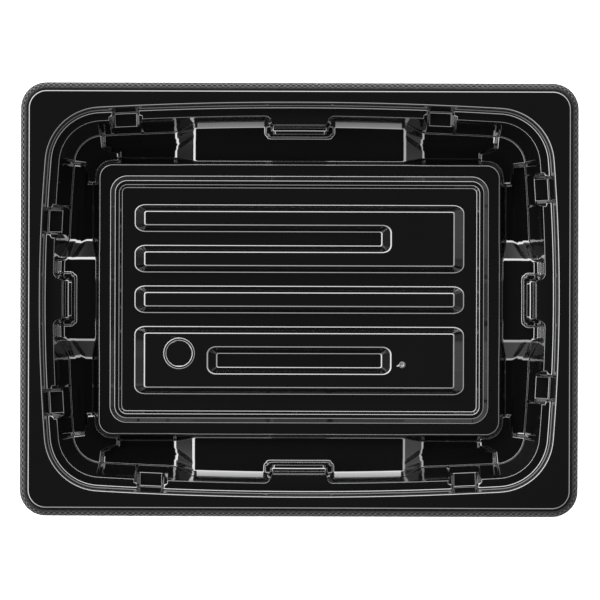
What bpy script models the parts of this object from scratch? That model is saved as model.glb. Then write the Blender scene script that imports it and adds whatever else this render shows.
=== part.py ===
"""A one-piece thermoformed food tray: one black plastic sheet with a knurled-edge rim.

Units are metres. +X runs along the long side, +Y along the short side and +Z is up. The
origin is the middle of the footprint, on the plane that the four L-shaped feet stand on.
Every height is that of the sheet's upper surface; its thickness lies underneath.
"""
import math

import bmesh
import bpy
from mathutils import Vector

SHEET = 0.0005

# Half sizes along X and Y of the outlines, and the radius of their corners.
RIM_EDGE = (0.1000, 0.0777, 0.0093)
RIM_FOLD = (0.09685, 0.07443, 0.0066)
MOUTH = (0.0931, 0.0707, 0.02005)
MOUTH_BOW = (0.0020, 0.0020)
FLOOR = (0.0721, 0.0485, 0.0046)
BEAD = (0.0682, 0.0445, 0.0060)

# Heights of the upper surface.
RIM_Z = 0.0300
RIM_EDGE_Z = 0.0275
LEDGE_Z = 0.0245
SHELF_Z = 0.0200
BULGE_Z = 0.0202
RIB_Z = 0.0130
BEAD_Z = 0.0114
FLOOR_Z = 0.0100
POCKET_Z = 0.0060
WEB_Z = 0.0044
CREASE_Z = 0.0008
FOOT_Z = SHEET

# The lid wall and the ledge under it, as insets from the mouth.
LID_WALL_FOOT = 0.0014
LEDGE_MIDDLE = 0.0032
LEDGE_EDGE = 0.0049

# The tongue that widens the ledge in the middle of each side.
TONGUE_EDGE = 0.0079
TONGUE_SHELF = (0.00895, 0.00955, 0.01125)
TONGUE_FOOT = 0.01225
TONGUE_TOP_HALF = (0.0070, 0.0100)
TONGUE_FOOT_HALF = (0.0095, 0.0124)

# The raised pocket in the middle of each side. A chamfer runs along its outer wall's foot:
# its two insets from the mouth and the height of its outer edge above the pocket's floor.
POCKET_CHAMFER = ((0.0068, 0.0080, 0.0015), (0.0061, 0.0084, 0.00165))
POCKET_OUTSET = 0.0010
POCKET_HALF = (0.0146, 0.0379)
POCKET_END = (0.0214, 0.0449)

# The L-shaped feet between the pockets, as insets from the mouth and outsets from the floor,
# and the flat web that crosses each corner.
FOOT_INSETS = (0.00945, 0.0115, 0.0139)
FOOT_OUTSETS = (0.0050, 0.0026)
WEB_OUTSETS = (0.0044, 0.0014)
CORNER_STEP = 0.0012

# The stacking lugs, two on each side: places along it, from its middle and counterclockwise.
LUG_FLOOR = (0.0024, 0.00735)
LUG_FLOOR_HALF = 0.0043
LUG_MOUTH_HALF = 0.0058
LUG_PLACES = {
    "right": (-0.0315, 0.0400),
    "top": (-0.0506, 0.0627),
    "left": (-0.0280, 0.0373),
    "bottom": (-0.0532, 0.0598),
}

# The bead round the floor and the ribs on it.
BEAD_INSETS = (0.0, 0.0017, 0.0032, 0.00415)
RIB_PITCH = 0.01465
RIB_HALF = (0.00473, 0.0025)
RIB_END = (0.05935, 0.0557)
SLOT_END = (0.02965, 0.0332)
RIB_CORNER = ((0.0037, 0.0027), (0.0008, 0.0008))
SLOT_CORNER = ((0.0008, 0.0008), (0.0031, 0.0025))

# Underside points lower than this are pressed down to the plane that the feet stand on.
FOOT_FLATTENED = 0.0002

# How finely curves are cut into straight pieces.
CORNER_STEPS = 6
RIB_CORNER_STEPS = 3
SHARP_ANGLE = math.radians(25)

BLACK = (0.020, 0.020, 0.022, 1.0)

# Outward direction of each side; the direction along it is a quarter turn further.
SIDES = {"right": (1, 0), "top": (0, 1), "left": (-1, 0), "bottom": (0, -1)}


def for_side(side, pair):
    """The value of a pair that belongs to a side: the first one to right and left."""
    return pair[0] if side in ("right", "left") else pair[1]


class Outline:
    """A rounded rectangle whose sides may bow outwards, and every inset of it."""

    def __init__(self, sizes, bow=(0.0, 0.0)):
        self.half = sizes[:2]
        self.radius = sizes[2]
        self.bow = bow

    def corner_angle(self, side):
        """The angle at which a bowed side runs into the corner's arc."""
        bow = for_side(side, self.bow)
        straight = self.straight(side)
        angle = 0.0
        for _ in range(6):
            angle = math.atan(2 * bow / (straight + self.radius * math.sin(angle)))
        return angle

    def straight(self, side):
        """Half the length between the centres of the corners at both ends of a side."""
        return for_side(side, self.half[::-1]) - for_side(side, self.bow[::-1]) - self.radius

    def corner_reach(self, side):
        """How far out from the middle the centres of a side's corners are."""
        return for_side(side, self.half) - for_side(side, self.bow) - self.radius

    def side_end(self, side, inset=0.0):
        """How far along a side its corner arc starts."""
        radius = self.radius - inset
        return self.straight(side) + radius * math.sin(self.corner_angle(side))

    def on_side(self, side, fraction, inset):
        """The point at a fraction of -1 to 1 of the way along a side."""
        out = Vector(SIDES[side])
        along = Vector((-out.y, out.x))
        arc_end = (self.radius - inset) * math.cos(self.corner_angle(side))
        belly = for_side(side, self.bow) * (1 - fraction ** 2)
        reach = self.corner_reach(side) + arc_end + belly
        return out * reach + along * fraction * self.side_end(side, inset)

    def on_corner(self, side, fraction, inset):
        """The point at a fraction of 0 to 1 round the corner that follows a side."""
        out = Vector(SIDES[side])
        along = Vector((-out.y, out.x))
        following = list(SIDES)[(list(SIDES).index(side) + 1) % 4]
        start = self.corner_angle(side)
        end = math.pi / 2 - self.corner_angle(following)
        angle = start + (end - start) * fraction
        centre = out * self.corner_reach(side) + along * self.straight(side)
        return centre + (self.radius - inset) * (out * math.cos(angle) + along * math.sin(angle))


mouth = Outline(MOUTH, MOUTH_BOW)
floor = Outline(FLOOR)
bead = Outline(BEAD)
rim_fold = Outline(RIM_FOLD)
rim_edge = Outline(RIM_EDGE)


def from_mouth(inset, height):
    return (mouth, inset, height)


def from_floor(outset, height):
    return (floor, -outset, height)


def down_from_rim():
    """The part that every section shares: the lid wall below the mouth."""
    return [from_mouth(0.0, RIM_Z), from_mouth(LID_WALL_FOOT, LEDGE_Z)]


def plain_ledge():
    return down_from_rim() + [from_mouth(LEDGE_MIDDLE, LEDGE_Z), from_mouth(LEDGE_EDGE, LEDGE_Z)]


def foot_channel():
    return [
        from_mouth(FOOT_INSETS[0], FOOT_Z),
        from_mouth(FOOT_INSETS[1], FOOT_Z),
        from_mouth(FOOT_INSETS[2], CREASE_Z),
        from_floor(FOOT_OUTSETS[0], FOOT_Z),
        from_floor(FOOT_OUTSETS[1], FOOT_Z),
        from_floor(0.0, FLOOR_Z),
    ]


def pocket(side):
    """A pocket's outer wall ends in a chamfer before its flat floor."""
    outer_inset, inner_inset, rise = for_side(side, POCKET_CHAMFER)
    return plain_ledge() + [
        from_mouth(outer_inset, POCKET_Z + rise),
        from_mouth(inner_inset, POCKET_Z),
        from_mouth(TONGUE_SHELF[2], POCKET_Z),
        from_mouth(TONGUE_FOOT, POCKET_Z),
        from_floor(POCKET_OUTSET, POCKET_Z),
        from_floor(0.0, FLOOR_Z),
    ]


SECTIONS = {
    "foot": plain_ledge() + foot_channel(),
    "lug": down_from_rim() + [
        from_mouth(LUG_FLOOR[0], SHELF_Z),
        from_mouth(LUG_FLOOR[1], SHELF_Z),
    ] + foot_channel(),
    "short_side_pocket": pocket("right"),
    "long_side_pocket": pocket("top"),
    "tongue": down_from_rim() + [
        from_mouth(LEDGE_EDGE, LEDGE_Z),
        from_mouth(TONGUE_EDGE, LEDGE_Z),
        from_mouth(TONGUE_SHELF[0], SHELF_Z),
        from_mouth(TONGUE_SHELF[1], BULGE_Z),
        from_mouth(TONGUE_SHELF[2], SHELF_Z),
        from_mouth(TONGUE_FOOT, POCKET_Z),
        from_floor(POCKET_OUTSET, POCKET_Z),
        from_floor(0.0, FLOOR_Z),
    ],
    "corner": plain_ledge() + [
        from_mouth(FOOT_INSETS[0], WEB_Z),
        from_mouth(FOOT_INSETS[1], WEB_Z),
        from_mouth(FOOT_INSETS[2], WEB_Z),
        from_floor(WEB_OUTSETS[0], WEB_Z),
        from_floor(WEB_OUTSETS[1], WEB_Z),
        from_floor(0.0, FLOOR_Z),
    ],
}


def side_stations(side):
    """The places along one side where its section is known, and which section it is."""
    end = mouth.side_end(side)
    tongue_top = for_side(side, TONGUE_TOP_HALF)
    tongue_foot = for_side(side, TONGUE_FOOT_HALF)
    pocket_half = for_side(side, POCKET_HALF)
    pocket_end = for_side(side, POCKET_END)
    pocket_name = for_side(side, ("short_side_pocket", "long_side_pocket"))
    stations = [(0.0, "tongue")]
    for sign in (-1, 1):
        stations.append((sign * tongue_top, "tongue"))
        stations.append((sign * tongue_foot, pocket_name))
        stations.append((sign * pocket_half, pocket_name))
        stations.append((sign * pocket_end, "foot"))
        stations.append((sign * (end - CORNER_STEP), "foot"))
    for place in LUG_PLACES[side]:
        stations.append((place - LUG_MOUTH_HALF, "foot"))
        stations.append((place - LUG_FLOOR_HALF, "lug"))
        stations.append((place + LUG_FLOOR_HALF, "lug"))
        stations.append((place + LUG_MOUTH_HALF, "foot"))
    return sorted(stations)


def station_point(outline, station, inset):
    """A station's point on an outline.

    Along a side, stations are square to it as far as the pocket reaches. Beyond that they
    spread or close up evenly, so that each outline's last one meets its corner.
    """
    kind, side, place, _ = station
    if kind == "corner":
        return outline.on_corner(side, place, inset)
    square = for_side(side, POCKET_END)
    end = outline.side_end(side, inset)
    reach = abs(place)
    if reach > square:
        reach = square + (reach - square) * (end - square) / (mouth.side_end(side) - square)
    return outline.on_side(side, math.copysign(reach / end, place), inset)


def all_stations():
    """Every station round the tray, counterclockwise, with the section it shows."""
    stations = []
    for side in SIDES:
        for place, section in side_stations(side):
            stations.append(("side", side, place, section))
        for step in range(CORNER_STEPS + 1):
            stations.append(("corner", side, step / CORNER_STEPS, "corner"))
    return stations


def new_loop(mesh, points):
    """A closed loop of edges through points, in order."""
    verts = [mesh.verts.new(point) for point in points]
    edges = [mesh.edges.new((verts[i - 1], vert)) for i, vert in enumerate(verts)]
    return edges, verts


def extrude_loop(mesh, loop, points):
    """Extrude a closed loop of edges, and move the new loop's verts to points."""
    edges, verts = loop
    made = bmesh.ops.extrude_edge_only(mesh, edges=edges)["geom"]
    fresh = {item for item in made if isinstance(item, bmesh.types.BMVert)}
    new_edges = [
        item for item in made
        if isinstance(item, bmesh.types.BMEdge) and fresh.issuperset(item.verts)
    ]
    new_verts = []
    for vert, point in zip(verts, points):
        partner = next(
            edge.other_vert(vert) for edge in vert.link_edges if edge.other_vert(vert) in fresh
        )
        partner.co = point
        new_verts.append(partner)
    return new_edges, new_verts


def add_wall(mesh):
    """The rim, the lid wall, the ledge and the well, ring by ring down to the floor's bead."""
    stations = all_stations()

    def ring(pick):
        points = []
        for station in stations:
            outline, inset, height = pick(station[3])
            points.append((*station_point(outline, station, inset), height))
        return points

    loop = new_loop(mesh, ring(lambda section: (rim_edge, 0.0, RIM_EDGE_Z)))
    loop = extrude_loop(mesh, loop, ring(lambda section: (rim_fold, 0.0, RIM_Z)))
    for level in range(len(SECTIONS["foot"])):
        loop = extrude_loop(mesh, loop, ring(lambda section: SECTIONS[section][level]))
    for inset, height in zip(BEAD_INSETS, (FLOOR_Z, BEAD_Z, BEAD_Z, FLOOR_Z)):
        loop = extrude_loop(mesh, loop, ring(lambda section: (bead, inset, height)))
    return loop


def rounded(corners, reaches, height):
    """Points round a right-angled outline; each corner has its reach along X and Y."""
    points = []
    for index, (corner, reach) in enumerate(zip(corners, reaches)):
        here = Vector(corner)
        back = (Vector(corners[index - 1]) - here).normalized()
        ahead = (Vector(corners[(index + 1) % len(corners)]) - here).normalized()
        for step in range(RIB_CORNER_STEPS + 1):
            angle = math.pi / 2 * step / RIB_CORNER_STEPS
            offset = back * (1 - math.sin(angle)) + ahead * (1 - math.cos(angle))
            points.append((here.x + offset.x * reach[0], here.y + offset.y * reach[1], height))
    return points


def bar_outline(level, low, high):
    """A rib, or a block of ribs, between the centre lines low and high."""
    end, half = RIB_END[level], RIB_HALF[level]
    low, high = low - half, high + half
    corners = [(-end, low), (end, low), (end, high), (-end, high)]
    return rounded(corners, [RIB_CORNER[level]] * 4, (FLOOR_Z, RIB_Z)[level])


def fork_outline(level, low, high):
    """Two ribs joined at +X, with a slot between them that is open at -X."""
    end, half, slot = RIB_END[level], RIB_HALF[level], SLOT_END[level]
    corners = [
        (-end, low - half), (end, low - half), (end, high + half), (-end, high + half),
        (-end, high - half), (slot, high - half), (slot, low + half), (-end, low + half),
    ]
    outer, inner = RIB_CORNER[level], SLOT_CORNER[level]
    reaches = [outer] * 5 + [inner] * 2 + [outer]
    return rounded(corners, reaches, (FLOOR_Z, RIB_Z)[level])


def slot_outline(level, low, high):
    """A slot between the centre lines low and high, closed at both ends."""
    end, half = SLOT_END[level], RIB_HALF[level]
    low, high = low + half, high - half
    corners = [(-end, low), (end, low), (end, high), (-end, high)]
    return rounded(corners, [SLOT_CORNER[level]] * 4, (FLOOR_Z, RIB_Z)[level])


def add_rib(mesh, outline, low, high):
    """Raise one rib outline from the floor, and return its loops at the foot and the top."""
    foot = new_loop(mesh, outline(0, low, high))
    return foot, extrude_loop(mesh, foot, outline(1, low, high))


def fill(mesh, *loops):
    """Close a flat region whose outer edge is the first loop and whose holes are the rest."""
    edges = [edge for loop in loops for edge in loop[0]]
    bmesh.ops.triangle_fill(mesh, edges=edges, use_beauty=True, normal=(0, 0, 1))


def add_floor(mesh, bead_loop):
    """The floor inside the bead, with one straight rib, one fork and one slotted block."""
    bar_foot, bar_top = add_rib(mesh, bar_outline, 0.0, 0.0)
    fork_foot, fork_top = add_rib(mesh, fork_outline, RIB_PITCH, 2 * RIB_PITCH)
    block_foot, block_top = add_rib(mesh, bar_outline, -2 * RIB_PITCH, -RIB_PITCH)
    slot_foot, slot_top = add_rib(mesh, slot_outline, -2 * RIB_PITCH, -RIB_PITCH)
    fill(mesh, bead_loop, bar_foot, fork_foot, block_foot)
    fill(mesh, slot_foot)
    fill(mesh, bar_top)
    fill(mesh, fork_top)
    fill(mesh, block_top, slot_top)


def black_plastic():
    """Glossy black polypropylene-filled sheet."""
    material = bpy.data.materials.new("black_plastic")
    material.use_nodes = True
    shader = material.node_tree.nodes["Principled BSDF"]
    shader.inputs["Base Color"].default_value = BLACK
    shader.inputs["Roughness"].default_value = 0.12
    shader.inputs["Metallic"].default_value = 0.0
    material.diffuse_color = BLACK
    return material


def thicken_and_stand(tray):
    """Give the sheet its thickness downwards, and make the feet's undersides dead flat."""
    sheet = tray.modifiers.new("sheet", "SOLIDIFY")
    sheet.thickness = SHEET
    sheet.offset = -1.0
    sheet.use_even_offset = True
    sheet.use_quality_normals = True
    thick = bpy.data.meshes.new_from_object(
        tray.evaluated_get(bpy.context.evaluated_depsgraph_get())
    )
    tray.modifiers.clear()
    for vert in thick.vertices:
        if vert.co.z < FOOT_FLATTENED:
            vert.co.z = 0.0
    tray.data = thick
    thick.name = "tray"


def make_tray():
    mesh = bmesh.new()
    add_floor(mesh, add_wall(mesh))
    mesh.normal_update()
    bmesh.ops.reverse_faces(mesh, faces=[face for face in mesh.faces if face.normal.z < 0])
    data = bpy.data.meshes.new("tray")
    mesh.to_mesh(data)
    mesh.free()
    data.materials.append(black_plastic())
    tray = bpy.data.objects.new("tray", data)
    bpy.context.scene.collection.objects.link(tray)
    thicken_and_stand(tray)
    tray.data.shade_smooth()
    tray.data.set_sharp_from_angle(angle=SHARP_ANGLE)


for old in list(bpy.data.objects):
    bpy.data.objects.remove(old)
make_tray()
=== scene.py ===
# %% [markdown]
# # A formed food tray with a knurled rim
# This tray is one thin sheet of glossy black plastic. The sheet is heated, sucked down
# into a mould by vacuum, and then cut out round its rim. So there is only one piece to
# model, and all of its character is in the relief: a rim, a ledge for a lid, feet,
# pockets, ribs, and the small fillets that every formed edge has.
#
# On a black glossy object, the eye sees hardly anything but those fillets, because they
# are what turns towards the lights. So the plan is to model real fillets everywhere.

# %% Load the measured model
import math

import bmesh
import bpy
from mathutils import Matrix, Vector


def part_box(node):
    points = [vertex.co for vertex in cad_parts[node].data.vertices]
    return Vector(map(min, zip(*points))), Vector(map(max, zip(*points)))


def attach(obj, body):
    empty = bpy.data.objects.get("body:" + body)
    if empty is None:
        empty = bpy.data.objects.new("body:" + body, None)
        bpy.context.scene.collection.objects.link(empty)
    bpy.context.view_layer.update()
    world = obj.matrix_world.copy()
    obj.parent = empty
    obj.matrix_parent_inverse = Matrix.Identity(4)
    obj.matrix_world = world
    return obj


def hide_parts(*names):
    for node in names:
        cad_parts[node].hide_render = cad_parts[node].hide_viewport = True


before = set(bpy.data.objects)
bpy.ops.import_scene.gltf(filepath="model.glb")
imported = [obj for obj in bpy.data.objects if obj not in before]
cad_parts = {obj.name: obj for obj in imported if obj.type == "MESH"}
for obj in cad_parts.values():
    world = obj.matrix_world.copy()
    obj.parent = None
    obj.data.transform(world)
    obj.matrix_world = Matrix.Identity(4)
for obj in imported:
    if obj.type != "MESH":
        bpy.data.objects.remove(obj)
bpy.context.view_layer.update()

MM = 0.001
low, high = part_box("tray")
print("tray box in mm:", [round(value / MM, 2) for value in high - low])

# %% [markdown]
# ## Outlines
# Seen from above, the tray is a set of rounded rectangles, one inside the other. The mouth
# of the well is special, because its sides bow outwards: that keeps a thin sheet stiff.
# Each outline can give a point on any of its sides or corners, and also a point that lies
# a little further in. The sizes are worked out from the outer edge of the rim.

# %% Outlines as rounded rectangles
SIDES = {"right": (1, 0), "top": (0, 1), "left": (-1, 0), "bottom": (0, -1)}


def by_side(side, pair):
    """The value of a pair that belongs to a side: the first one to right and left."""
    return pair[0] if side in ("right", "left") else pair[1]


class Outline:
    """A rounded rectangle whose sides may bow outwards, and every inset of it."""

    def __init__(self, inset_x, inset_y, radius, bow=0.0):
        self.half = (high.x - inset_x * MM, high.y - inset_y * MM)
        self.radius = radius * MM
        self.bow = bow * MM

    def straight(self, side):
        """Half the distance between the centres of a side's two corners."""
        return by_side(side, self.half[::-1]) - self.bow - self.radius

    def centre_reach(self, side):
        """How far out from the middle those centres are."""
        return by_side(side, self.half) - self.bow - self.radius

    def lean(self, side):
        """The angle at which a bowed side runs into its corner."""
        angle = 0.0
        for _ in range(6):
            run = self.straight(side) + self.radius * math.sin(angle)
            angle = math.atan(2 * self.bow / run)
        return angle

    def side_end(self, side, inset=0.0):
        """How far along a side its corner starts."""
        return self.straight(side) + (self.radius - inset) * math.sin(self.lean(side))

    def on_side(self, side, fraction, inset):
        """A point from -1 to 1 of the way along a side."""
        out = Vector(SIDES[side])
        along = Vector((-out.y, out.x))
        arc_end = (self.radius - inset) * math.cos(self.lean(side))
        reach = self.centre_reach(side) + arc_end + self.bow * (1 - fraction ** 2)
        return out * reach + along * fraction * self.side_end(side, inset)

    def on_corner(self, side, fraction, inset):
        """A point from 0 to 1 of the way round the corner that follows a side."""
        out = Vector(SIDES[side])
        along = Vector((-out.y, out.x))
        names = list(SIDES)
        following = names[(names.index(side) + 1) % 4]
        start = self.lean(side)
        angle = start + (math.pi / 2 - self.lean(following) - start) * fraction
        centre = out * self.centre_reach(side) + along * self.straight(side)
        return centre + (self.radius - inset) * (out * math.cos(angle) + along * math.sin(angle))


rim = Outline(0.0, 0.0, 9.3)
mouth = Outline(6.9, 7.0, 20.05, bow=2.0)
floor_edge = Outline(27.9, 29.2, 4.6)
bead = Outline(31.8, 33.2, 6.0)
print("mouth half sizes in mm:", [round(value / MM, 2) for value in mouth.half])

# %% [markdown]
# ## Heights
# Every height is that of the upper surface of the sheet, and the sheet's thickness lies
# under it. The feet are the lowest level, so their upper surface is one thickness up.

# %% Heights and sheet thickness
SHEET = 0.5 * MM
RIM_Z = high.z
SKIRT_Z = high.z - 2.5 * MM
LEDGE_Z = high.z - 5.5 * MM
SHELF_Z = high.z - 10.0 * MM
BULGE_Z = SHELF_Z + 0.2 * MM
RIB_Z = 13.0 * MM
BEAD_Z = 11.4 * MM
FLOOR_Z = 10.0 * MM
POCKET_Z = 6.0 * MM
WEB_Z = 4.4 * MM
CREASE_Z = 0.8 * MM
FOOT_Z = SHEET
print("levels in mm:", [round(z / MM, 2) for z in (RIM_Z, LEDGE_Z, SHELF_Z, FLOOR_Z, FOOT_Z)])

# %% [markdown]
# ## Sections of the wall
# If the wall is cut through from the rim to the floor, the cut shows a zigzag line. There
# are seven such lines: at a foot, at a stacking lug, at the plain end of a pocket, at a
# pocket of a short side and of a long side, at the tongue in the middle of each side, and
# at a corner. All of them have the same number of bends. So one can turn into the next
# simply by moving its bends, and the mesh never has to be cut.
#
# A bend says from which outline it is measured, how far in, how high, and how soft it is,
# which is the length that its fillet takes off each of the two straight pieces.

# %% The seven sections
SOFT = 0.5


def from_mouth(inset, height, soft=SOFT):
    return (mouth, inset * MM, height, soft * MM)


def from_floor(outset, height, soft=SOFT):
    return (floor_edge, -outset * MM, height, soft * MM)


LEDGE = [
    from_mouth(0.244, RIM_Z, 0.8),
    from_mouth(1.496, LEDGE_Z, 0.8),
    from_mouth(3.2, LEDGE_Z),
    from_mouth(4.83, LEDGE_Z, 0.3),
]
FOOT = [
    from_mouth(9.45, FOOT_Z, 0.6),
    from_mouth(10.2, FOOT_Z),
    from_mouth(11.5, FOOT_Z),
    from_mouth(13.9, CREASE_Z, 0.5),
    from_floor(5.0, FOOT_Z),
    from_floor(3.6, FOOT_Z),
    from_floor(2.6, FOOT_Z, 0.5),
    from_floor(0.44, FLOOR_Z, 1.3),
]
LUG = LEDGE[:2] + [
    from_mouth(2.3, SHELF_Z, 0.5),
    from_mouth(7.35, SHELF_Z, 0.45),
]
POCKET_INSIDE = [from_floor(0.83, POCKET_Z, 1.2), from_floor(0.67, FLOOR_Z, 1.4)]


def pocket(*step):
    """A pocket whose outer wall ends in a step, given as bends of (inset, rise)."""
    return LEDGE + [from_mouth(inset, POCKET_Z + rise * MM, 0.35) for inset, rise in step] + [
        from_mouth(10.4, POCKET_Z),
        from_mouth(11.3, POCKET_Z),
        from_mouth(12.27, POCKET_Z),
    ] + POCKET_INSIDE


SECTIONS = {
    "foot": LEDGE + FOOT,
    "lug": LUG + FOOT,
    "pocket_end": pocket((6.1, 0.0), (8.4, 0.0), (9.6, 0.0)),
    "short_side_pocket": pocket((6.2, 1.5), (6.8, 1.5), (8.0, 0.0)),
    "long_side_pocket": pocket((6.1, 1.65), (8.4, 0.0), (9.6, 0.0)),
    "tongue": LEDGE[:2] + [
        from_mouth(4.9, LEDGE_Z),
        from_mouth(7.9, LEDGE_Z, 0.1),
        from_mouth(8.95, SHELF_Z, 0.25),
        from_mouth(9.3, BULGE_Z, 0.25),
        from_mouth(9.8, BULGE_Z, 0.25),
        from_mouth(10.15, SHELF_Z, 0.25),
        from_mouth(11.25, SHELF_Z, 0.2),
        from_mouth(12.27, POCKET_Z, 0.7),
    ] + POCKET_INSIDE,
    "corner": LEDGE + [
        from_mouth(9.5, WEB_Z, 0.6),
        from_mouth(10.2, WEB_Z),
        from_mouth(11.5, WEB_Z),
        from_mouth(13.9, WEB_Z),
        from_floor(4.4, WEB_Z),
        from_floor(3.4, WEB_Z),
        from_floor(1.4, WEB_Z, 0.7),
        from_floor(0.5, FLOOR_Z, 1.3),
    ],
}
BENDS = len(SECTIONS["foot"])
print("sections:", list(SECTIONS), "with", BENDS, "bends each")

# %% [markdown]
# ## Where each section begins and ends
# Along a side, the section changes over short ramps. A ramp is given by the place where
# the new section is fully there, the place where nothing of it is left, how much it climbs
# between them, and how soft its two ends are. Each bend has its own ramp, and that is how
# the end of a pocket gets its pointed, W-shaped foot line. Places are measured from the
# middle of a side, counterclockwise, and everything in this cell is in millimetres. Each
# of the functions named after a ramp returns its full, gone, rise and softness.

# %% Ramps between the sections
LUGS = {
    "right": (-31.5, 40.0),
    "top": (-50.6, 62.7),
    "left": (-28.0, 37.3),
    "bottom": (-53.2, 59.8),
}
LEDGE_BEND = 3
CREASE_BEND = 7
INNER_BEND = 8
POCKET_RISE = (POCKET_Z - FOOT_Z) / MM
STEP_RISE = 2.0
TONGUE_RISE = 13.7
LUG_DROP = (LEDGE_Z - SHELF_Z) / MM
WEB_RISE = (WEB_Z - FOOT_Z) / MM


def pocket_ramp(side, bend=0):
    """The slanting end of a pocket, which is pulled in where it meets the crease."""
    full, gone = by_side(side, ((14.6, 21.4), (37.9, 44.9)))
    return full, gone - (1.0 if bend == CREASE_BEND else 0.0), POCKET_RISE, 1.2


def step_ramp(side):
    """The end of the step along a pocket's outer wall."""
    full = pocket_ramp(side)[0]
    return full - 0.9, full - 0.1, STEP_RISE, 0.4


def tongue_ramp(side, bend=0):
    """The steep flank of the tongue in the middle of a side."""
    full, gone = by_side(side, ((7.05, 9.55), (9.9, 12.4)))
    cut = 0.8 if bend == INNER_BEND else 0.0
    return full - cut, gone - cut, TONGUE_RISE, 0.6


def lug_ramp(bend):
    """The side walls of a stacking lug, measured from the lug's middle."""
    full, gone = (5.0, 6.0) if bend == LEDGE_BEND else (4.0, 4.75)
    return full, gone, LUG_DROP, 0.25


def corner_ramp(side, bend=0):
    """The step from a foot up to the web in the corner."""
    end = mouth.side_end(side) / MM - (2.2 if bend >= INNER_BEND else 0.0)
    return end, end - 0.9, WEB_RISE, 0.25


LONGEST_FILLET = 0.45


def toe(x, width, rise, soft):
    """The lower half of a slope that is rounded where it leaves the level."""
    length = math.hypot(width, rise)
    soft = min(soft, LONGEST_FILLET * length)
    reach = soft * width / length
    if x <= -soft:
        return 0.0
    if x >= reach:
        return x / width
    along = (math.sqrt(soft ** 2 + (reach - soft) * (soft + x)) - soft) / (reach - soft)
    return soft / length * along ** 2


def ramp(place, full, gone, rise, soft):
    """The share of a section, 1 at full and 0 at gone, for a slope that climbs by rise."""
    width = abs(gone - full)
    x = gone - place if full < gone else place - gone
    if x < width / 2:
        return toe(x, width, rise, soft)
    return 1 - toe(width - x, width, rise, soft)


def ramp_places(full, gone, rise, soft, steps=3):
    """Places that a ramp's two rounded ends need."""
    width, sign = abs(gone - full), math.copysign(1, full - gone)
    reach = soft * width / math.hypot(width, rise)
    places = []
    for step in range(steps + 1):
        t = step / steps
        x = reach * t ** 2 - soft * (1 - t) ** 2
        places += [gone + sign * x, full - sign * x]
    return places


def tongue_share(side, place, bend):
    """The ledge's edge turns in a quarter circle to the tongue; the rest is a plain ramp."""
    full, gone, rise, soft = tongue_ramp(side, bend)
    if bend != LEDGE_BEND:
        return ramp(abs(place), full, gone, rise, soft)
    across = min(1.0, max(0.0, (gone - abs(place)) / (gone - full)))
    return 1 - math.sqrt(1 - across ** 2)


print("tongue on the top side fades out between", tongue_ramp("top")[:2], "mm")

# %% [markdown]
# ## Stations
# A station is a place on the way round the tray where a section is set up. Stations are
# close together on the ramps, where the shape changes fast, and far apart elsewhere. That
# is the cheap way to model a formed sheet: most of its length is plain.

# %% Stations round the tray
PLAIN_STEP = 6.0
CLOSEST = 0.16
CORNER_STEPS = 20


def busy_places(side):
    """Every place along a side, in mm, that a ramp needs."""
    full, gone = tongue_ramp(side)[:2]
    half = ramp_places(*tongue_ramp(side)) + ramp_places(*tongue_ramp(side, INNER_BEND), 1)
    half += [full + (gone - full) * part for part in (0.25, 0.5, 0.75)]
    half += ramp_places(*pocket_ramp(side), 4) + ramp_places(*pocket_ramp(side, CREASE_BEND), 4)
    half += ramp_places(*step_ramp(side), 2)
    half += ramp_places(*corner_ramp(side)) + ramp_places(*corner_ramp(side, INNER_BEND))
    places = [0.0] + half + [-place for place in half]
    for lug in LUGS[side]:
        for bend in (LEDGE_BEND - 1, LEDGE_BEND):
            reach = ramp_places(*lug_ramp(bend))
            places += [lug + place for place in reach] + [lug - place for place in reach]
    return sorted(places)


def side_places(side):
    """The busy places, without near doubles, and with the wide gaps filled in evenly."""
    end = mouth.side_end(side) / MM
    marks = [-end]
    for place in busy_places(side) + [end]:
        if place - marks[-1] > CLOSEST and place <= end:
            marks.append(place)
    places = []
    for here, there in zip(marks, marks[1:]):
        count = max(1, round((there - here) / PLAIN_STEP))
        places += [here + (there - here) * i / count for i in range(count)]
    return places


STATIONS = []
for side in SIDES:
    STATIONS += [("side", side, place) for place in side_places(side)]
    STATIONS += [("corner", side, step / CORNER_STEPS) for step in range(CORNER_STEPS)]
print("stations:", len(STATIONS))

# %% [markdown]
# ## From a station to a line of points
# At each station the sections are mixed by their ramps, which gives the bends in space.
# Then each bend is rounded by a short curve that leaves one straight piece and joins the
# next. Rounding last keeps every fillet true, also where two sections are half mixed. A
# fillet never takes more than its share of a straight piece, so two of them can't cross.

# %% Mixed and rounded sections
FILLET_STEPS = 4
SQUARE_REACH = (21.3 * MM, 45.6 * MM)
FLAT_LEAD = 1.5 * MM


def place_on(outline, station, inset):
    """A station's point on an outline, closed up beyond the pocket to meet the corner."""
    kind, side, place = station
    if kind == "corner":
        return outline.on_corner(side, place, inset)
    square = by_side(side, SQUARE_REACH)
    end = outline.side_end(side, inset)
    reach = abs(place) * MM
    if reach > square:
        reach = square + (reach - square) * (end - square) / (mouth.side_end(side) - square)
    return outline.on_side(side, math.copysign(reach / end, place), inset)


def bend_point(section, station, bend):
    """The place and softness of one bend in an unmixed section."""
    outline, inset, height, soft = SECTIONS[section][bend]
    return Vector((*place_on(outline, station, inset), height)), soft


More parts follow.
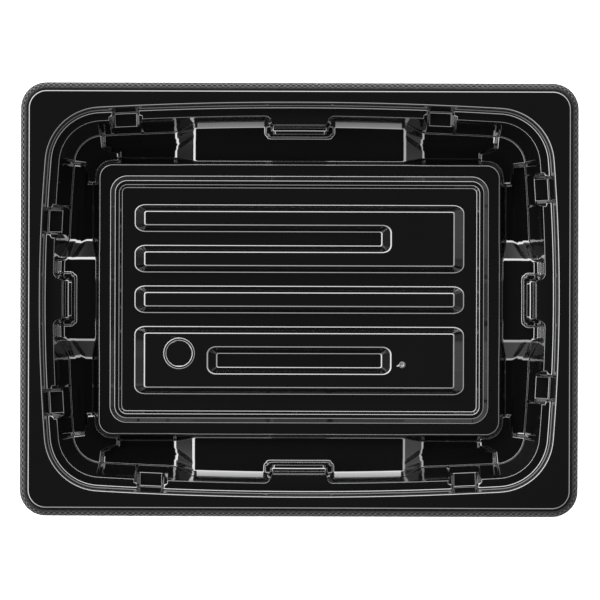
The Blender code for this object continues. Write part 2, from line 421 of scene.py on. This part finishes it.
def mixed_bend(station, bend):
    """The place and softness of one bend at a station."""
    kind, side, place = station
    if kind == "corner":
        return bend_point("corner", station, bend)
    pocket_name = by_side(side, ("short_side_pocket", "long_side_pocket"))
    shares = [("pocket_end", ramp(abs(place), *pocket_ramp(side, bend)))]
    shares.append((pocket_name, ramp(abs(place), *step_ramp(side))))
    shares.append(("tongue", tongue_share(side, place, bend)))
    if 1 <= bend <= LEDGE_BEND:
        shares += [("lug", ramp(abs(place - lug), *lug_ramp(bend))) for lug in LUGS[side]]
    shares.append(("corner", ramp(abs(place), *corner_ramp(side, bend))))
    point, soft = bend_point("foot", station, bend)
    for section, share in shares:
        if share > 0:
            other, other_soft = bend_point(section, station, bend)
            point = point.lerp(other, share)
            soft += (other_soft - soft) * share
    return point, soft


def rounded_line(points, softs, steps=FILLET_STEPS):
    """Replace each inner point of a line by a curve of steps + 1 points."""
    line = []
    for before, here, after, soft in zip(points, points[1:], points[2:], softs):
        to_before, to_after = before - here, after - here
        reach = min(soft, LONGEST_FILLET * to_before.length, LONGEST_FILLET * to_after.length)
        start = here + to_before.normalized() * reach
        end = here + to_after.normalized() * reach
        for step in range(steps + 1):
            t = step / steps
            line.append(start * (1 - t) ** 2 + here * (2 * t * (1 - t)) + end * t ** 2)
    return line


def station_line(station):
    """All the points of the wall at a station, from the flange to the floor."""
    bends = [mixed_bend(station, bend) for bend in range(BENDS)]
    flange = Vector((*place_on(mouth, station, -FLAT_LEAD), RIM_Z))
    inside = Vector((*place_on(floor_edge, station, FLAT_LEAD), FLOOR_Z))
    points = [flange] + [point for point, _ in bends] + [inside]
    return rounded_line(points, [soft for _, soft in bends])


WALL_LINES = [station_line(station) for station in STATIONS]
print("rings in the wall:", len(WALL_LINES[0]))

# %% [markdown]
# ## The bead round the floor
# A low bead with a flat top runs round the floor and stiffens it. Its section is the same
# all the way and its sides are straight, so it needs no mixing, and stations only in its
# corners. A bend of it is an inset in mm, a height, and a softness in mm.

# %% The bead's rings
BEAD_BENDS = [(0.0, FLOOR_Z, 0.4), (1.7, BEAD_Z, 0.35), (3.2, BEAD_Z, 0.35), (4.15, FLOOR_Z, 0.35)]
BEAD_INSIDE = 5.4
BEAD_CORNER_STEPS = 14
BEAD_STATIONS = [
    ("corner", side, step / BEAD_CORNER_STEPS)
    for side in SIDES for step in range(BEAD_CORNER_STEPS + 1)
]


def bead_line(station):
    """The points across the bead at a station, from outside to inside."""
    points = [Vector((*place_on(bead, station, -FLAT_LEAD), FLOOR_Z))]
    for inset, height, _ in BEAD_BENDS:
        points.append(Vector((*place_on(bead, station, inset * MM), height)))
    points.append(Vector((*place_on(bead, station, BEAD_INSIDE * MM), FLOOR_Z)))
    return rounded_line(points, [soft * MM for _, _, soft in BEAD_BENDS], steps=3)


BEAD_LINES = [bead_line(station) for station in BEAD_STATIONS]
print("rings in the bead:", len(BEAD_LINES[0]))

# %% [markdown]
# ## Helpers for bmesh
# All of the tray's strips are made in the same way. A closed loop of edges is extruded,
# and the new loop is moved to where it belongs. Extruding keeps the loop's order, so the
# partner of each vertex is found across the edge that the extrusion has made.

# %% Loops that are extruded ring by ring
def start_loop(mesh, points):
    """A closed loop: a circle with a vertex for each point, moved onto the points."""
    verts = bmesh.ops.create_circle(mesh, segments=len(points), radius=1.0)["verts"]
    edges = list(dict.fromkeys(edge for vert in verts for edge in vert.link_edges))
    for vert, point in zip(verts, points):
        vert.co = point
    return edges, verts


def extrude_loop(mesh, loop, points):
    """Extrude a closed loop and move the new vertices to points."""
    edges, verts = loop
    made = bmesh.ops.extrude_edge_only(mesh, edges=edges)["geom"]
    fresh = {item for item in made if isinstance(item, bmesh.types.BMVert)}
    new_edges = [
        item for item in made
        if isinstance(item, bmesh.types.BMEdge) and fresh.issuperset(item.verts)
    ]
    partners = []
    for vert, point in zip(verts, points):
        others = (edge.other_vert(vert) for edge in vert.link_edges)
        partner = next(other for other in others if other in fresh)
        partner.co = point
        partners.append(partner)
    return new_edges, partners


def extrude_rings(mesh, loop, rings):
    """Extrude a loop through ring after ring, and return the last one."""
    for ring in rings:
        loop = extrude_loop(mesh, loop, ring)
    return loop


def fill_flat(mesh, *loops):
    """Fill a flat region: the first loop is its outer edge, and the rest are holes."""
    edges = [edge for loop in loops for edge in loop[0]]
    bmesh.ops.triangle_fill(mesh, edges=edges, use_beauty=True, normal=(0, 0, 1))


def rings_of(lines):
    """Turn lines of points, one for each station, into rings of points."""
    return [list(ring) for ring in zip(*lines)]


sheet = bmesh.new()
wall_rings = rings_of(WALL_LINES)
mouth_loop = start_loop(sheet, wall_rings[0])
floor_loop = extrude_rings(sheet, mouth_loop, wall_rings[1:])
bead_rings = rings_of(BEAD_LINES)
bead_outer = start_loop(sheet, bead_rings[0])
bead_loop = extrude_rings(sheet, bead_outer, bead_rings[1:])
fill_flat(sheet, floor_loop, bead_outer)
print("faces after the wall and the bead:", len(sheet.faces))

# %% [markdown]
# ## The knurled rim
# A die-cut edge of thin plastic is as sharp as paper. So the last two millimetres are
# pressed into rows of fine dents, which are kind to the fingers and stiffen the edge. In
# each row the height goes up and down with the teeth, and the next row does the opposite.
# The knurl needs far more vertices than the wall does, so the rim gets its own loop, and a
# flat fill joins it to the mouth. A bend or a row is given by its inset from the rim's
# edge, its drop below the rim's top, and its softness or the height of its dents, in mm.

# %% The rim's rings
TOOTH = 2.02 * MM
POINTS_PER_TOOTH = 3
FLANGE_INSET = 5.0
RIM_BENDS = [(3.12, 0.0, 0.4), (2.25, 0.85, 0.3)]
KNURL_ROWS = [(1.75, 1.22, 0.0), (1.3, 1.56, 0.14), (0.75, 1.96, -0.14), (0.25, 2.32, 0.05)]


def rim_stations():
    """Evenly spaced stations round the rim, a whole number of them to each tooth."""
    corner = rim.radius * math.pi / 2
    sides = {side: 2 * rim.straight(side) for side in SIDES}
    around = sum(sides.values()) + 4 * corner
    count = round(around / TOOTH) * POINTS_PER_TOOTH
    stations = []
    for step in range(count):
        walked = around * step / count
        for side in SIDES:
            if walked < sides[side]:
                stations.append(("side", side, 2 * walked / sides[side] - 1))
                break
            walked -= sides[side]
            if walked < corner:
                stations.append(("corner", side, walked / corner))
                break
            walked -= corner
    return stations


def rim_point(station, inset, drop):
    """A point of the rim, by its inset and its drop in mm."""
    kind, side, fraction = station
    on = rim.on_side if kind == "side" else rim.on_corner
    return Vector((*on(side, fraction, inset * MM), RIM_Z - drop * MM))


def rim_line(index, station):
    """The points across the rim at a station, from the flange to the outer edge."""
    bends = [(FLANGE_INSET, 0.0, 0.0)] + RIM_BENDS + KNURL_ROWS[:1]
    points = [rim_point(station, inset, drop) for inset, drop, _ in bends]
    line = rounded_line(points, [soft * MM for _, _, soft in RIM_BENDS], steps=3)
    wave = math.cos(2 * math.pi * index / POINTS_PER_TOOTH)
    for inset, drop, height in KNURL_ROWS:
        line.append(rim_point(station, inset, drop - wave * height))
    line.append(rim_point(station, 0.0, (RIM_Z - SKIRT_Z) / MM))
    return line


rim_lines = [rim_line(i, station) for i, station in enumerate(rim_stations())]
rim_rings = rings_of(rim_lines)
rim_loop = start_loop(sheet, rim_rings[0])
before_rim = set(sheet.faces)
extrude_rings(sheet, rim_loop, rim_rings[1:])
rim_faces = [face for face in sheet.faces if face not in before_rim]
fill_flat(sheet, rim_loop, mouth_loop)
print("teeth:", len(rim_lines) // POINTS_PER_TOOTH, "faces now:", len(sheet.faces))

# %% [markdown]
# ## Outlines of the ribs
# The floor carries a straight rib, a fork of two ribs that join at one end, and a broad
# block with a slot in it. Each has an outline at its foot and one at its top. The foot's
# corners are wide and oval, and the top's are tight, as the draft of a mould makes them.
# An outline is written down as its square corners, and each corner is then rounded.

# %% Rib outlines
RIB_PITCH = 14.65 * MM
RIB_HALF = (4.73 * MM, 2.5 * MM)
RIB_END = (high.x - 40.65 * MM, high.x - 44.3 * MM)
SLOT_END = (29.65 * MM, 33.2 * MM)
RIB_ROUND = ((3.7 * MM, 2.7 * MM), (0.8 * MM, 0.8 * MM))
SLOT_ROUND = ((0.8 * MM, 0.8 * MM), (3.1 * MM, 2.5 * MM))
LEVELS = (FLOOR_Z, RIB_Z)
ROUND_STEPS = 9


def rounded_outline(corners, reaches, height):
    """Round each square corner of an outline by its reach along X and along Y."""
    points = []
    for index, (corner, reach) in enumerate(zip(corners, reaches)):
        here = Vector(corner)
        back = (Vector(corners[index - 1]) - here).normalized()
        ahead = (Vector(corners[(index + 1) % len(corners)]) - here).normalized()
        for step in range(ROUND_STEPS + 1):
            angle = math.pi / 2 * step / ROUND_STEPS
            offset = back * (1 - math.sin(angle)) + ahead * (1 - math.cos(angle))
            x, y = here.x + offset.x * reach[0], here.y + offset.y * reach[1]
            points.append(Vector((x, y, height)))
    return points


def bar_outline(level, first, last):
    """One rib, or one block of ribs, between the centre lines first and last."""
    end, half = RIB_END[level], RIB_HALF[level]
    corners = [(-end, first - half), (end, first - half), (end, last + half), (-end, last + half)]
    return rounded_outline(corners, [RIB_ROUND[level]] * 4, LEVELS[level])


def fork_outline(level, first, last):
    """Two ribs joined at one end, with an open slot between them."""
    end, half, slot = RIB_END[level], RIB_HALF[level], SLOT_END[level]
    corners = [
        (-end, first - half), (end, first - half), (end, last + half), (-end, last + half),
        (-end, last - half), (slot, last - half), (slot, first + half), (-end, first + half),
    ]
    reaches = [RIB_ROUND[level]] * 5 + [SLOT_ROUND[level]] * 2 + [RIB_ROUND[level]]
    return rounded_outline(corners, reaches, LEVELS[level])


def slot_outline(level, first, last):
    """A slot that is closed at both ends, between two centre lines."""
    end, half = SLOT_END[level], RIB_HALF[level]
    corners = [(-end, first + half), (end, first + half), (end, last - half), (-end, last - half)]
    return rounded_outline(corners, [SLOT_ROUND[level]] * 4, LEVELS[level])


print("ribs reach to x =", round(RIB_END[0] / MM, 2), "mm at the foot")

# %% [markdown]
# ## Ribs on the floor
# A rib's slope runs from its foot outline to its top outline. Both edges get a fillet, so
# each rib is a few extruded rings, and the flat regions between and on top of the ribs are
# filled in one go with triangle_fill, which takes inner loops as holes.

# %% Ribs and flat fills
RIB_SOFT = (0.53 * MM, 0.62 * MM)
RIB_LEAD = 2.0 * MM


def rib_rings(outline, first, last):
    """The rings of one rib, from the flat round its foot to the flat on its top."""
    lines = []
    for foot, top in zip(outline(0, first, last), outline(1, first, last)):
        out = Vector((foot.x - top.x, foot.y - top.y, 0.0)).normalized() * RIB_LEAD
        lines.append(rounded_line([foot + out, foot, top, top - out], RIB_SOFT))
    return rings_of(lines)


def add_rib(outline, first, last):
    """Extrude a rib's rings, and return the loops at its foot and at its top."""
    rings = rib_rings(outline, first, last)
    foot = start_loop(sheet, rings[0])
    return foot, extrude_rings(sheet, foot, rings[1:])


bar_foot, bar_top = add_rib(bar_outline, 0.0, 0.0)
fork_foot, fork_top = add_rib(fork_outline, RIB_PITCH, 2 * RIB_PITCH)
block_foot, block_top = add_rib(bar_outline, -2 * RIB_PITCH, -RIB_PITCH)
slot_foot, slot_top = add_rib(slot_outline, -2 * RIB_PITCH, -RIB_PITCH)
fill_flat(sheet, bead_loop, bar_foot, fork_foot, block_foot)
fill_flat(sheet, slot_foot)
fill_flat(sheet, bar_top)
fill_flat(sheet, fork_top)
print("faces after the ribs:", len(sheet.faces))

# %% [markdown]
# ## Mould marks
# A mould leaves small marks in the floor: here a plain raised ring and a pip, which say
# nothing. Each is a loop that rises a fifth of a millimetre and comes down again.

# %% Ring and pip on the block
MARK_RISE = 0.22 * MM
RING_PLACE, RING_RADII = (-43.3 * MM, -19.5 * MM), (5.7 * MM, 4.6 * MM)
PIP_PLACE, PIP_RADII = (37.2 * MM, -23.4 * MM), (1.2 * MM, 0.5 * MM)


def circle_ring(centre, radius, rise, count):
    """A circle of points, a little above the top of the block."""
    x, y = centre
    turns = [2 * math.pi * i / count for i in range(count)]
    across = [(radius * math.cos(turn), radius * math.sin(turn)) for turn in turns]
    return [Vector((x + dx, y + dy, RIB_Z + rise)) for dx, dy in across]


def add_mark(centre, profile, count):
    """Extrude a round mark from its outer loop inwards, by (radius, rise) pairs."""
    rings = [circle_ring(centre, radius, rise, count) for radius, rise in profile]
    outer = start_loop(sheet, rings[0])
    return outer, extrude_rings(sheet, outer, rings[1:])


def bead_profile(outer, inner):
    """A little round-topped bead between two radii."""
    middle, half = (outer + inner) / 2, (outer - inner) / 2
    angles = [math.pi * i / 6 for i in range(7)]
    return [(middle + half * math.cos(a), MARK_RISE * math.sin(a) ** 1.5) for a in angles]


ring_outer, ring_inner = add_mark(RING_PLACE, bead_profile(*RING_RADII), 48)
pip_outer, pip_inner = add_mark(PIP_PLACE, bead_profile(*PIP_RADII), 20)
fill_flat(sheet, block_top, slot_top, ring_outer, pip_outer)
fill_flat(sheet, ring_inner)
fill_flat(sheet, pip_inner)
print("faces with the marks:", len(sheet.faces))

# %% [markdown]
# ## Which way is up, and what is crisp
# All of this is a surface with no thickness. Every face of it looks up or sideways and
# never down, so a face whose normal points down is simply turned over. Everything is
# shaded smooth, apart from the knurl: cold pressing leaves crisp little facets, so their
# edges are marked sharp. The skirt below the rim's fold goes to the second, satin finish,
# whose greyer base colour is painted light.

# %% Normals up, and the knurl crisp
sheet.normal_update()
bmesh.ops.reverse_faces(sheet, faces=[face for face in sheet.faces if face.normal.z < 0])
for face in sheet.faces:
    face.smooth = True
# Faces below the fold get the satin finish, whose greyer base colour is painted light.
satin_painted_light_drop, knurl_drop = RIM_BENDS[1][1], KNURL_ROWS[0][1]
for face in rim_faces:
    drop = (RIM_Z - face.calc_center_median().z) / MM
    face.material_index = int(drop > satin_painted_light_drop)
    if drop > knurl_drop:
        for edge in face.edges:
            edge.smooth = False
print("crisp edges:", sum(not edge.smooth for edge in sheet.edges))

# %% [markdown]
# ## From a surface to a sheet
# Solidify adds the thickness below the surface, as the mould shapes a real sheet from one
# side. The feet are then pressed level where they stand on the table. The mesh gets two
# empty material slots first, so that the faces keep their slot numbers for later.

# %% Thickness
PRESSED_BELOW = 0.12 * MM
surface = bpy.data.meshes.new("formed_tray")
sheet.to_mesh(surface)
sheet.free()
for _ in range(2):
    surface.materials.append(None)
formed_tray = bpy.data.objects.new("formed_tray", surface)
bpy.context.scene.collection.objects.link(formed_tray)
thickness = formed_tray.modifiers.new("thickness", "SOLIDIFY")
thickness.thickness = SHEET
thickness.offset = -1.0
thickness.use_even_offset = True
thickness.use_quality_normals = True
thickness.material_offset_rim = 1
bpy.context.view_layer.update()
shown = formed_tray.evaluated_get(bpy.context.evaluated_depsgraph_get())
solid = bpy.data.meshes.new_from_object(shown)
formed_tray.modifiers.clear()
for vert in solid.vertices:
    if vert.co.z < PRESSED_BELOW:
        vert.co.z = 0.0
formed_tray.data = solid
solid.name = "formed_tray"
print("triangles:", sum(len(face.vertices) - 2 for face in solid.polygons))

# %% [markdown]
# ## Calm reflections
# On a glossy surface, a normal that is a little wrong shows as a smear. Weighted Normal
# lets the big flat faces win over the tiny faces of a fillet next to them, so the flats
# stay dead flat right up to where the fillet begins. It leaves the sharp knurl alone.

# %% Weighted normals
weighted = formed_tray.modifiers.new("weighted_normals", "WEIGHTED_NORMAL")
weighted.mode = "FACE_AREA"
weighted.weight = 100
weighted.keep_sharp = True
print("modifiers:", formed_tray.modifiers.keys())

# %% [markdown]
# ## Helpers for the finishes
# Both finishes are the Principled shader with a little noise. The noise uses the piece's
# own coordinates, so it stays in the plastic when the piece is moved. Most of its values
# lie in the middle of 0 to 1, and that stretch is spread over the range that is wanted.

# %% Shader helpers
NOISE_RANGE = (0.3, 0.7)


def principled(name):
    """A new material with its node tree and its Principled shader."""
    material = bpy.data.materials.new(name)
    material.use_nodes = True
    tree = material.node_tree
    return material, tree, tree.nodes["Principled BSDF"]


def object_noise(tree, scale, detail):
    """Soft noise in the piece's own space."""
    coordinates = tree.nodes.new("ShaderNodeTexCoord")
    noise = tree.nodes.new("ShaderNodeTexNoise")
    noise.inputs["Scale"].default_value = scale
    noise.inputs["Detail"].default_value = detail
    tree.links.new(coordinates.outputs["Object"], noise.inputs["Vector"])
    return noise.outputs["Fac"]


def spread(tree, value, low_end, high_end):
    """Map a noise value onto a range."""
    node = tree.nodes.new("ShaderNodeMapRange")
    node.inputs["From Min"].default_value, node.inputs["From Max"].default_value = NOISE_RANGE
    node.inputs["To Min"].default_value = low_end
    node.inputs["To Max"].default_value = high_end
    tree.links.new(value, node.inputs["Value"])
    return node.outputs["Result"]


def bump(tree, height, strength, distance):
    """A faint relief that is too fine to model."""
    node = tree.nodes.new("ShaderNodeBump")
    node.inputs["Strength"].default_value = strength
    node.inputs["Distance"].default_value = distance
    tree.links.new(height, node.inputs["Height"])
    return node.outputs["Normal"]


print("helpers:", principled.__name__, object_noise.__name__, spread.__name__, bump.__name__)

# %% [markdown]
# ## Black gloss, and a satin edge with painted light
# Formed polystyrene sheet is black right through, and the mould leaves it glossy. Real
# sheet isn't perfect, though: it has a very slight waviness and faint cloudy patches in
# its gloss. The knurled edge is pressed cold, so it mirrors far less. Its greyer base
# colour is painted light, standing in for the light that its little facets catch.

# %% The two finishes
PLASTIC_IOR = 1.59


def glossy_black():
    """The mirror-like black of the formed sheet, with clouds in its gloss."""
    material, tree, shader = principled("black_gloss_sheet")
    shader.inputs["Base Color"].default_value = (0.0012, 0.0012, 0.0012, 1.0)
    shader.inputs["IOR"].default_value = PLASTIC_IOR
    clouds = spread(tree, object_noise(tree, 35.0, 3.0), 0.05, 0.10)
    tree.links.new(clouds, shader.inputs["Roughness"])
    waves = bump(tree, object_noise(tree, 60.0, 1.0), 0.05, 0.0004)
    tree.links.new(waves, shader.inputs["Normal"])
    return material


def satin_edge_painted_light():
    """The duller black of the cold-pressed edge, with a fine grain, and a greyer base colour that
    is painted light.
    """
    material, tree, shader = principled("black_satin_edge_painted_light")
    # Painted light: this base colour is greyer than the sheet's, standing in for the light that
    # the knurl's facets catch.
    shader.inputs["Base Color"].default_value = (0.006, 0.006, 0.006, 1.0)
    shader.inputs["IOR"].default_value = PLASTIC_IOR
    shader.inputs["Specular IOR Level"].default_value = 0.13
    grain = spread(tree, object_noise(tree, 900.0, 2.0), 0.12, 0.22)
    tree.links.new(grain, shader.inputs["Roughness"])
    return material


formed_tray.data.materials[0] = glossy_black()
formed_tray.data.materials[1] = satin_edge_painted_light()
satin_painted_light_faces = sum(face.material_index for face in formed_tray.data.polygons)
print("materials:", formed_tray.data.materials.keys(), "satin faces:", satin_painted_light_faces)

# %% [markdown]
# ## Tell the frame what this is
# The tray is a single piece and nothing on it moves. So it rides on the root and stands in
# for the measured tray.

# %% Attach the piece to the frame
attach(formed_tray, "root")
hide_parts("tray")
print("attached:", formed_tray.name)

# %% [markdown]
# ## Floor
# A plain pale floor, a hair below the feet so that the two surfaces never flicker. It has
# no gloss, because a mirror image of the tray in it would only distract.

# %% Plain pale floor
FLOOR_GAP = 0.2 * MM
floor_mesh = bmesh.new()
bmesh.ops.create_grid(floor_mesh, x_segments=1, y_segments=1, size=4.0)
floor_data = bpy.data.meshes.new("floor")
floor_mesh.to_mesh(floor_data)
floor_mesh.free()
floor = bpy.data.objects.new("floor", floor_data)
floor_data.transform(Matrix.Translation((0, 0, -FLOOR_GAP)))
bpy.context.scene.collection.objects.link(floor)
floor_material, floor_tree, floor_shader = principled("pale_floor")
floor_shader.inputs["Base Color"].default_value = (0.42, 0.42, 0.42, 1.0)
floor_shader.inputs["Roughness"].default_value = 0.9
floor_shader.inputs["Specular IOR Level"].default_value = 0.0
floor_data.materials.append(floor_material)
print("floor material:", floor_material.name)

# %% [markdown]
# ## Light
# The light is a broad soft band all round at half height, a little stronger from the top
# left, with a dark ceiling straight above. That is how dark glossy things are lit: the
# flats mirror the dark ceiling and stay black, and every fillet that leans over catches
# the band as a thin bright line. The band is a colour ramp over the height of each
# direction in the sky.

# %% Light all round
LIGHT_LEVEL = 11.0
TOWARDS_TOP_LEFT = (-0.47, 0.47, 0.0)
BAND = [(0.0, 0.008), (0.30, 0.01), (0.38, 1.0), (0.80, 1.0), (0.86, 0.003), (1.0, 0.002)]
world = bpy.data.worlds.new("studio")
bpy.context.scene.world = world
world.use_nodes = True
sky = world.node_tree
background = sky.nodes["Background"]
direction = sky.nodes.new("ShaderNodeTexCoord")
parts = sky.nodes.new("ShaderNodeSeparateXYZ")
sky.links.new(direction.outputs["Generated"], parts.inputs["Vector"])
band = sky.nodes.new("ShaderNodeValToRGB")
sky.links.new(parts.outputs["Z"], band.inputs["Fac"])
stops = band.color_ramp.elements
while len(stops) < len(BAND):
    stops.new(0.5)
for stop, (place, value) in zip(stops, BAND):
    stop.position = place
    stop.color = (value, value, value, 1.0)
tilt = sky.nodes.new("ShaderNodeVectorMath")
tilt.operation = "DOT_PRODUCT"
tilt.inputs[1].default_value = TOWARDS_TOP_LEFT
sky.links.new(direction.outputs["Generated"], tilt.inputs[0])
brighter = sky.nodes.new("ShaderNodeMath")
brighter.operation = "ADD"
brighter.inputs[1].default_value = 1.0
sky.links.new(tilt.outputs["Value"], brighter.inputs[0])
level = sky.nodes.new("ShaderNodeMath")
level.operation = "MULTIPLY"
level.inputs[1].default_value = LIGHT_LEVEL
sky.links.new(brighter.outputs["Value"], level.inputs[0])
sky.links.new(band.outputs["Color"], background.inputs["Color"])
sky.links.new(level.outputs["Value"], background.inputs["Strength"])
print("light from", BAND[2][0], "to", BAND[3][0], "of the sky's height")

# %% [markdown]
# ## Camera
# The camera looks straight down from far away through a long lens, so that the steep walls
# are seen almost exactly edge on. It stands a hair off centre and is turned very slightly,
# as a camera on a real stand is.

# %% Camera straight above
LENS = 400.0
SENSOR = 36.0
VIEW_WIDTH = 1.0743 * (high.x - low.x)
OFF_CENTRE = (0.27 * MM, -0.12 * MM)
SLIGHT_TURN = math.radians(0.18)
camera_data = bpy.data.cameras.new("camera")
camera_data.lens = LENS
camera_data.sensor_width = SENSOR
camera = bpy.data.objects.new("camera", camera_data)
bpy.context.scene.collection.objects.link(camera)
camera.location = (*OFF_CENTRE, RIM_Z + VIEW_WIDTH * LENS / SENSOR)
camera.rotation_euler = (0.0, 0.0, SLIGHT_TURN)
bpy.context.scene.camera = camera
bpy.context.scene.view_settings.view_transform = "Standard"
print("camera height in m:", round(camera.location.z, 3))
